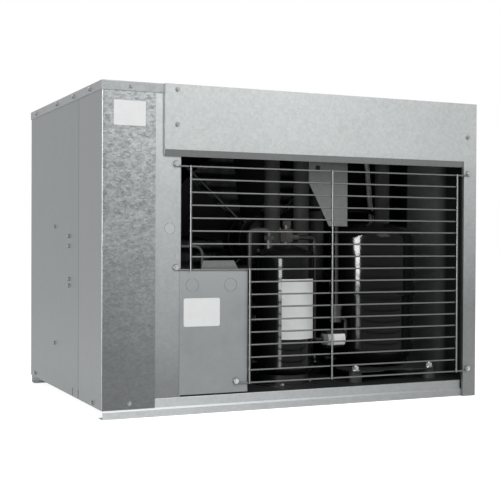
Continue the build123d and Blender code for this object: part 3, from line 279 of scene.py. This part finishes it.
def enamel(name, tone, rough, dust, specular=0.5, metal=0.0, lifts=(), peel=0.05, wrap=None):
    """Sprayed paint with faint orange peel, and dust on what faces up.

    lifts: (low, high, gain), a paler tone from one height to the next and on: painted light on the control
    cover's top, and the post's lighter tone on the knock-outs in the post
    wrap: (middle height, half its height, edge in X, tone short of the edge, tone past it), a blank band
    whose tone short of the edge is painted shade at the barrel's end
    """
    worn = 1.35
    half_worn = 1.17
    dust_gain = 0.25
    edge_blur = 2 * MM
    tree = Tree(name)
    skin = tree.noise(700.0, detail=2.0)
    wear = tree.noise(30.0, detail=5.0, rough=0.65)
    lies = tree.span(tree.facing("Z"), 0.3, 1.0, 0.0, dust)
    lies = tree.math("MULTIPLY", lies, tree.span(wear, 0.3, 0.7, 0.4, 1.0))
    pale = tuple(min(1.0, part + dust_gain) for part in tone)
    paint = tree.mix(wear, tone, tuple(part * worn for part in tone))
    # Painted light: paler from one height up
    for low, high, gain in lifts:
        lifted = tuple(part * gain * half_worn for part in tone)
        paint = tree.mix(tree.span(tree.axis("Z"), low, high, 0.0, 1.0), paint, lifted)
    # A blank band round the middle, with painted shade on its end short of the edge
    if wrap:
        middle, half, edge, shaded_end_tone, far_tone = wrap
        off_middle = tree.math("ABSOLUTE", tree.math("SUBTRACT", tree.axis("Z"), middle))
        beyond = tree.span(tree.axis("X"), edge - edge_blur, edge + edge_blur, 0.0, 1.0)
        band = tree.mix(beyond, shaded_end_tone, far_tone)
        paint = tree.mix(tree.math("LESS_THAN", off_middle, half), paint, band)
    colour = tree.mix(lies, paint, pale)
    roughness = tree.math("ADD", tree.span(wear, 0.2, 0.8, rough - 0.05, rough + 0.07), lies)
    return tree.finish(colour, roughness, metal, tree.bump(skin, peel, 0.3 * MM), specular)


def bare(name, tone, rough, metal, streak=(60.0, 60.0, 900.0), tarnish=0.25, paler_stretch=None,
         drawn=0.06, rows=None):
    """Drawn, ground or cast metal with fine lines and some tarnish.

    streak: the lines' scale along each axis, and drawn: how dark they are
    tarnish: how dark the spots are
    paler_stretch: (axis, edge, tone past it), a stretch in another, paler tone with half the tarnish
    rows: (one dark row's height, pitch, strength), rows repeated over the height
    """
    tree = Tree(name)
    lines = tree.noise(1.0, rough=0.6, place=tree.stretch(*streak))
    spots = tree.noise(55.0, detail=5.0, rough=0.7)
    colour = tree.mix(tree.span(spots, 0.35, 0.75, 0.0, tarnish), tone, black)
    # A stretch past the edge in a paler tone
    if paler_stretch:
        axis, edge, paler_tone = paler_stretch
        paler_tone = tree.mix(tree.span(spots, 0.35, 0.75, 0.0, tarnish * 0.5), paler_tone, black)
        colour = tree.mix(tree.span(tree.axis(axis), edge, edge + 10 * MM, 0.0, 1.0), colour, paler_tone)
    colour = tree.mix(tree.span(lines, 0.3, 0.7, 0.0, drawn), colour, black)
    if rows:
        start, pitch, strength = rows
        turn = tree.math("MULTIPLY", tree.math("SUBTRACT", tree.axis("Z"), start), 2 * math.pi / pitch)
        wave = tree.math("COSINE", turn)
        colour = tree.mix(tree.span(wave, 0.2, 1.0, 0.0, strength), colour, black)
    roughness = tree.span(spots, 0.3, 0.8, rough - 0.06, rough + 0.12)
    return tree.finish(colour, roughness, metal, tree.bump(lines, 0.06, 0.3 * MM))


def soft(name, tone, rough=0.75, grain=1400.0, bumpy=0.15):
    """Rubber, foam or moulded plastic with a fine skin."""
    tree = Tree(name)
    skin = tree.noise(grain, rough=0.6)
    patch = tree.noise(40.0, detail=4.0)
    paler = tuple(min(1.0, part * 1.5 + 0.004) for part in tone)
    colour = tree.mix(tree.span(patch, 0.3, 0.7, 0.0, 1.0), tone, paler)
    roughness = tree.span(skin, 0.2, 0.8, rough - 0.08, rough + 0.08)
    return tree.finish(colour, roughness, 0.0, tree.bump(skin, bumpy, 0.4 * MM))


def paper(name, tone, deep_shade_tone):
    """Blank label: satin film over paper, a little cloudy, darker deep in the cabinet as painted shade."""
    tree = Tree(name)
    cloud = tree.noise(60.0, detail=4.0)
    # Painted shade: labels deep in the cabinet take the darker tone
    deep = tree.math("GREATER_THAN", tree.axis("Y"), label_divide)
    tone = tree.mix(deep, tone, deep_shade_tone)
    colour = tree.mix(cloud, tone, (0.9, 0.9, 0.9), "MULTIPLY")
    roughness = tree.span(cloud, 0.2, 0.8, 0.4, 0.55)
    return tree.finish(colour, roughness, 0.0, tree.bump(cloud, 0.05, 0.2 * MM))


cover_tone = (0.250, 0.264, 0.268)
# Painted light: the control cover is paler towards its top
cover_painted_light = (0.20, 0.285, 1.22)
even_lines = (300.0, 300.0, 300.0)
looks = {
    # Hood: painted shade, darker down its leg and towards both ends, and on the lip that faces down
    "hood": galvanised("hood_zinc", (0.485, 0.507, 0.505), spangle=5 * MM, contrast=0.10, under=0.34,
                       painted_shades=(("Z", 0.20, 0.54, 0.44, 1.0), ("X", left + 130 * MM, 0.0, 0.90, 1.03),
                               ("X", 0.0, right, 1.0, 0.90))),
    # Column: painted shade, darker towards the bottom and towards the left edge
    "column": galvanised("column_zinc", (0.325, 0.343, 0.348), spangle=6 * MM, contrast=0.38, flat=1.6,
                         painted_shades=(("Z", 0.12, 0.66, 0.44, 1.10), ("X", left, left + 115 * MM, 0.93, 1.04)),
                         plain_side=(0.74, 0.12), calm=(0.08, 0.42, 0.40, 1.30)),
    "side": galvanised("side_zinc", (0.229, 0.244, 0.248), spangle=7 * MM, contrast=0.05),
    # Inner post: painted shade, darker towards the bottom
    "post": galvanised("post_zinc", (0.455, 0.475, 0.48), spangle=6 * MM, contrast=0.08,
                       painted_shades=(("Z", 0.05, 0.60, 0.42, 1.08),)),
    # Base pan: painted shade, darker towards the right, and on its parts above the pan's floor
    "pan": galvanised("pan_zinc", (0.455, 0.473, 0.474), spangle=6 * MM, contrast=0.08,
                      painted_shades=(("X", left, right, 1.12, 0.58),), painted_inner_shade=("Z", pan_floor, True, 0.86)),
    "cover_top": galvanised("cover_zinc", (0.31, 0.325, 0.33), spangle=6 * MM, contrast=0.12),
    # Right panel: painted shade on its inner face, with a band of painted light 144 to 281 mm behind the
    # front
    "right": galvanised("right_zinc", (0.30, 0.315, 0.32), spangle=7 * MM, contrast=0.08,
                        painted_inner_shade=("X", inner_side, False, 0.90),
                        band=("Y", front + 144 * MM, front + 281 * MM, 1.4)),
    "plate": galvanised("plate_zinc", (0.165, 0.172, 0.172), spangle=6 * MM, contrast=0.12),
    "box": galvanised("box_zinc", (0.34, 0.35, 0.35), spangle=7 * MM, contrast=0.10),
    # Fan shroud and valve bracket: zinc sheet given a near-black tone as painted shade deep in the cabinet
    "inner": enamel("inner_zinc_painted_shade", (0.006, 0.006, 0.006), rough=0.75, dust=0.02, specular=0.08),
    "cover": enamel("cover_paint", cover_tone, rough=0.45, dust=0.0, metal=0.2, lifts=(cover_painted_light,)),
    # Knock-outs: the cover's painted light, and above 0.30 m the lighter tone of the post they are punched
    # in
    "knock_out": enamel("knock_out_zinc", cover_tone, rough=0.45, dust=0.0, metal=0.2,
                        lifts=(cover_painted_light, (0.30, 0.32, 1.62))),
    "gloss": enamel("gloss_black", (0.006, 0.006, 0.0065), rough=0.10, dust=0.03, specular=0.10, peel=0.01),
    "satin": enamel("satin_black", (0.014, 0.014, 0.015), rough=0.42, dust=0.08, specular=0.25),
    "blade": enamel("blade", (0.010, 0.010, 0.0105), rough=0.55, dust=0.02, specular=0.15),
    # Drier: dark barrel with a pale band; the band's grey end is painted shade
    "drier": enamel("drier_enamel", (0.016, 0.016, 0.017), rough=0.32, dust=0.05, specular=0.3,
                    wrap=(drier_middle[2], 12 * MM, drier_low[0] + 19 * MM, (0.52,) * 3, (0.96,) * 3)),
    "wire": bare("plated_wire", (0.15, 0.155, 0.155), rough=0.36, metal=0.75, streak=(400.0, 400.0, 400.0),
                 tarnish=0.12),
    "mount": bare("mount_wire", (0.10, 0.10, 0.10), rough=0.40, metal=0.8),
    "dull_screw": bare("dull_screw", (0.33, 0.335, 0.335), rough=0.32, metal=0.9),
    "screw": bare("zinc_screw", (0.50, 0.50, 0.50), rough=0.26, metal=0.95),
    "bright": bare("bright_steel", (0.26, 0.26, 0.26), rough=0.35, metal=1.0),
    # Copper and brass in near-black tones
    "copper": bare("dark_copper", (0.028, 0.026, 0.024), rough=0.45, metal=0.8, streak=even_lines,
                   tarnish=0.5),
    # Coil lines: dark copper, and past riser_bend a pale grey tube, partly its own grey and partly painted
    # light for the dim place it sits
    "riser": bare("dull_copper", (0.050, 0.042, 0.038), rough=0.5, metal=0.0, streak=even_lines, tarnish=0.5,
                  paler_stretch=("X", riser_bend, (0.90, 0.89, 0.88))),
    "brass": bare("dark_brass", (0.056, 0.054, 0.051), rough=0.46, metal=0.85, streak=even_lines,
                  tarnish=0.4),
    "aluminium": bare("aluminium", (0.55, 0.57, 0.58), rough=0.4, metal=0.9, streak=(500.0, 60.0, 60.0),
                      tarnish=0.15),
    # Fins: painted shade, dark in the front part of the coil and paler past fins_back
    "fins": bare("fin_aluminium", (0.34, 0.35, 0.36), rough=0.35, metal=0.7, streak=(130.0, 2.0, 2.5),
                 tarnish=0.2, paler_stretch=("Y", fins_back, (0.80, 0.82, 0.83)), drawn=0.34,
                 rows=(tube_row, tube_pitch, 0.30)),
    "lamination": bare("lamination", (0.2, 0.2, 0.21), rough=0.5, metal=1.0, streak=(60.0, 4000.0, 60.0)),
    "rubber": soft("rubber", (0.02, 0.02, 0.02)),
    "foam": soft("foam_sleeve", (0.065, 0.065, 0.067), rough=0.82, grain=700.0, bumpy=0.35),
    "moulding": soft("moulding", (0.03, 0.03, 0.03), rough=0.5, grain=1200.0, bumpy=0.08),
    "red": soft("red_moulding", (0.40, 0.02, 0.015), rough=0.35, grain=900.0, bumpy=0.04),
    "lead": soft("lead_sheath", (0.05, 0.05, 0.05), rough=0.5, grain=900.0, bumpy=0.1),
    "label": paper("blank_label", (0.97, 0.99, 0.99), (0.90, 0.91, 0.91)),
}
look_of = {
    "hood_panel": "hood", "left_column_panel": "column", "left_rear_panel": "side", "inner_post": "post",
    "base_pan": "pan", "top_cover": "cover_top", "right_side_panel": "right", "fan_shroud": "inner",
    "control_box": "box", "control_cover": "cover", "knock_outs": "knock_out", "relay_bracket": "plate",
    "hanging_bracket": "plate", "valve_bracket": "inner", "coil_end_plates": "side", "wire_guard": "wire",
    "cabinet_screws": "dull_screw", "guard_screws": "screw", "mounting_bolts": "screw",
    "blank_labels": "label", "compressor_lower_shell": "gloss", "compressor_upper_shell": "gloss",
    "receiver_shell": "gloss", "receiver_foot": "satin", "compressor_feet": "satin",
    "compressor_grommets": "rubber", "terminal_cover": "moulding", "contactor_base": "moulding",
    "contactor_armature": "moulding", "run_capacitor": "aluminium", "terminal_block": "moulding",
    "pressure_control": "satin", "reset_button": "red", "control_lead": "lead", "capillary": "copper",
    "line_insulation": "foam", "suction_line": "copper", "coil_lines": "riser", "liquid_lines": "copper",
    "coil_tubes": "copper", "coil_fins": "fins", "receiver_fittings": "brass", "service_valves": "brass",
    "valve_caps": "brass", "head_pressure_valve": "brass", "suction_stem": "bright",
    "liquid_stem": "bright", "receiver_stem": "bright", "filter_drier": "drier", "fan_hub": "satin",
    "fan_blades": "blade", "hub_set_screw": "bright", "motor_shell": "satin", "motor_end_bells": "satin",
    "motor_bolts": "screw", "motor_bushes": "brass", "motor_stator": "lamination",
    "motor_rotor": "lamination", "motor_shaft": "bright", "motor_mount": "mount",
}
for name, look in look_of.items():
    if not nodes[name].material_slots:
        nodes[name].data.materials.append(looks[look])
    for slot in nodes[name].material_slots:
        slot.material = looks[look]

for name in ("hood_panel", "left_column_panel", "left_rear_panel", "right_side_panel", "inner_post",
             "top_cover", "base_pan", "control_cover"):
    edge = nodes[name].modifiers.new("rolled_edges", "BEVEL")
    edge.width = 0.4 * MM
    edge.segments = 2
    edge.limit_method = "ANGLE"
    edge.angle_limit = math.radians(40)


# Small details that stand on or for the solids
def fin_pack():
    """Several hundred rippled fins, each a closed thin sheet, in the space of the coil's block."""
    low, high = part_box("coil_fins")
    pitch = 2.1 * MM
    gauge = 0.2 * MM
    ripple = 0.5 * MM
    steps = 6
    mesh = bmesh.new()
    count = int((high[0] - low[0] - gauge - 2 * ripple) / pitch)
    for fin in range(count + 1):
        x = low[0] + ripple + fin * pitch
        walls = []
        for face in (0.0, gauge):
            for step in range(steps + 1):
                y = low[1] + (high[1] - low[1]) * step / steps
                bow = ripple * (0.5 if step % 2 else -0.5) + face
                walls.append((mesh.verts.new((x + bow, y, low[2])), mesh.verts.new((x + bow, y, high[2]))))
        near, far = walls[:steps + 1], walls[steps + 1:]
        for step in range(steps):
            mesh.faces.new((near[step][0], near[step][1], near[step + 1][1], near[step + 1][0]))
            mesh.faces.new((far[step][0], far[step + 1][0], far[step + 1][1], far[step][1]))
            mesh.faces.new((near[step][0], near[step + 1][0], far[step + 1][0], far[step][0]))
            mesh.faces.new((near[step][1], far[step][1], far[step + 1][1], near[step + 1][1]))
        for end in (0, steps):
            mesh.faces.new((near[end][0], far[end][0], far[end][1], near[end][1]))
    bmesh.ops.recalc_face_normals(mesh, faces=mesh.faces)
    data = bpy.data.meshes.new("fin_sheets")
    mesh.to_mesh(data)
    mesh.free()
    data.materials.append(looks["fins"])
    fins = bpy.data.objects.new("fin_sheets", data)
    bpy.context.scene.collection.objects.link(fins)
    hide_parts("coil_fins")
    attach(fins, "cabinet")


def flare_thread(name, y, z, radius):
    """Thread ridges round one coupling's end."""
    pitch = 1.3 * MM
    turns = 9
    facets = 48
    start = right - 1.5 * MM
    root = -0.1 * MM
    crest = 0.35 * MM
    mesh = bmesh.new()
    rows = []
    for step in range(turns * facets + 1):
        turn = 2 * math.pi * step / facets
        x = start - pitch * step / facets
        row = []
        for shift, rise in ((0.0, root), (0.5, crest), (1.0, root)):
            reach = radius + rise
            place = (x - shift * pitch, y + reach * math.cos(turn), z + reach * math.sin(turn))
            row.append(mesh.verts.new(place))
        rows.append(row)
    for row, after in zip(rows, rows[1:]):
        for i in (0, 1):
            mesh.faces.new((row[i], row[i + 1], after[i + 1], after[i]))
    bmesh.ops.remove_doubles(mesh, verts=mesh.verts, dist=0.02 * MM)
    bmesh.ops.recalc_face_normals(mesh, faces=mesh.faces)
    data = bpy.data.meshes.new(name)
    mesh.to_mesh(data)
    mesh.free()
    data.materials.append(looks["brass"])
    thread = bpy.data.objects.new(name, data)
    bpy.context.scene.collection.objects.link(thread)
    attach(thread, "cabinet")


fin_pack()
mounts = {mount["name"]: mount for mount in frame["record"]["mounts"]}
for name in ("suction_coupling", "liquid_coupling"):
    mount = mounts[name]
    flare_thread(f"{name}_thread", *mount["pos_m"][1:], mount["dims"]["r_mm"] * MM)


# Studio
def straight_rays(tree_nodes, tree_links):
    """1 on rays from the camera, a reflection or glass, and 0 on rays of scattered light."""
    paths = tree_nodes.new("ShaderNodeLightPath")
    straight = paths.outputs["Is Camera Ray"]
    for kind in ("Is Glossy Ray", "Is Transmission Ray"):
        most = tree_nodes.new("ShaderNodeMath")
        most.operation = "MAXIMUM"
        tree_links.new(straight, most.inputs[0])
        tree_links.new(paths.outputs[kind], most.inputs[1])
        straight = most.outputs[0]
    return straight


def studio_floor():
    """Wide pale floor, lifted to the backdrop's white without lighting the object from below."""
    half = 40.0
    lift = 0.785
    mesh = bpy.data.meshes.new("floor")
    corners = [(-half, -half, 0), (half, -half, 0), (half, half, 0), (-half, half, 0)]
    mesh.from_pydata(corners, [], [(0, 1, 2, 3)])
    floor = bpy.data.objects.new("floor", mesh)
    bpy.context.scene.collection.objects.link(floor)
    tree = Tree("floor")
    glow = tree.nodes.new("ShaderNodeEmission")
    tree.put(glow.inputs["Strength"], tree.math("MULTIPLY", straight_rays(tree.nodes, tree.links), lift))
    plain = tree.nodes.new("ShaderNodeBsdfDiffuse")
    plain.inputs["Color"].default_value = (0.80, 0.80, 0.80, 1.0)
    both = tree.nodes.new("ShaderNodeAddShader")
    tree.link(glow.outputs[0], both.inputs[0])
    tree.link(plain.outputs[0], both.inputs[1])
    tree.link(both.outputs[0], tree.nodes["Material Output"].inputs["Surface"])
    mesh.materials.append(tree.material)


def studio_backdrop():
    """White all round, dimmer where it only lights the object."""
    world = bpy.data.worlds.new("studio")
    bpy.context.scene.world = world
    world.use_nodes = True
    world_nodes = world.node_tree.nodes
    world_links = world.node_tree.links
    level = world_nodes.new("ShaderNodeMapRange")
    level.inputs["To Min"].default_value = 0.28
    level.inputs["To Max"].default_value = 1.0
    world_links.new(straight_rays(world_nodes, world_links), level.inputs["Value"])
    sky = world_nodes["Background"]
    sky.inputs["Color"].default_value = (1.0, 1.0, 1.0, 1.0)
    world_links.new(level.outputs["Result"], sky.inputs["Strength"])


def lamp(name, place, target, size, power, tall=None):
    """Soft lamp aimed at a place, square unless a height is given."""
    data = bpy.data.lights.new(name, "AREA")
    data.shape = "RECTANGLE"
    data.size = size
    data.size_y = tall or size
    data.energy = power
    area = bpy.data.objects.new(name, data)
    area.visible_camera = False
    bpy.context.scene.collection.objects.link(area)
    area.location = place
    area.rotation_euler = (Vector(target) - Vector(place)).to_track_quat("-Z", "Y").to_euler()
    return area


def highlight(area, names, state="INCLUDE"):
    """Makes a lamp show as a reflection alone, on the named nodes or on all but them."""
    area.visible_diffuse = False
    group = bpy.data.collections.new(f"{area.name}_group")
    for name in names:
        group.objects.link(nodes[name])
    for member in group.collection_objects:
        member.light_linking.link_state = state
    area.light_linking.receiver_collection = group


def photo_camera():
    """Camera at the photograph's place, as its straight edges give it."""
    yaw = math.radians(24.516)
    pitch = math.radians(0.587)
    roll = math.radians(0.257)
    place = (-1.0072, -2.2323, 0.346)
    focal_pixels = 1058.2
    photo_pixels = 500
    ahead = Vector((math.sin(yaw) * math.cos(pitch), math.cos(yaw) * math.cos(pitch), -math.sin(pitch)))
    side = Vector((math.cos(yaw), -math.sin(yaw), 0.0))
    up = side.cross(ahead)
    turned_side = side * math.cos(roll) + up * math.sin(roll)
    turned_up = up * math.cos(roll) - side * math.sin(roll)
    data = bpy.data.cameras.new("camera")
    data.sensor_width = 36.0
    data.lens = focal_pixels / photo_pixels * data.sensor_width
    camera = bpy.data.objects.new("camera", data)
    bpy.context.scene.collection.objects.link(camera)
    turn = Matrix((turned_side, turned_up, -ahead)).transposed()
    camera.matrix_world = Matrix.Translation(place) @ turn.to_4x4()
    bpy.context.scene.camera = camera


studio_floor()
studio_backdrop()
compressor = ("compressor_lower_shell", "compressor_upper_shell")
receiver = ("receiver_shell",)
lamp("key", (0.5, -2.3, 2.1), (0.0, -0.2, 0.45), size=1.4, power=34.0)
lamp("fill", (-2.4, -1.2, 1.4), (-0.3, 0.0, 0.3), size=1.8, power=10.0)
strip = lamp("strip", (-1.97, -1.43, 0.7), (0.2, -0.2, 0.25), size=0.55, power=75.0, tall=1.5)
highlight(strip, compressor + receiver, "EXCLUDE")
for name, x, y, z, aim, size, power, tall, shells in (
    ("tall", -700.0, -330.0, 950.0, (610.0, 97.0), 0.52, 270.0, 1.5, compressor),
    ("low", -700.0, -330.0, 80.0, (610.0, 97.0), 0.48, 7.0, 0.24, compressor),
    ("near", 70.0, -312.0, 290.0, (404.0, 59.0), 0.11, 3.6, 0.18, receiver),
    ("near_low", 70.0, -312.0, 100.0, (404.0, 59.0), 0.10, 1.4, 0.20, receiver),
):
    highlight(lamp(name, at(x, y, z), at(*aim, z), size, power, tall), shells)
lamp("top", (0.2, 0.6, 2.6), (0.0, 0.0, 0.5), size=1.6, power=16.0)
photo_camera()
bpy.context.scene.view_settings.view_transform = "Standard"
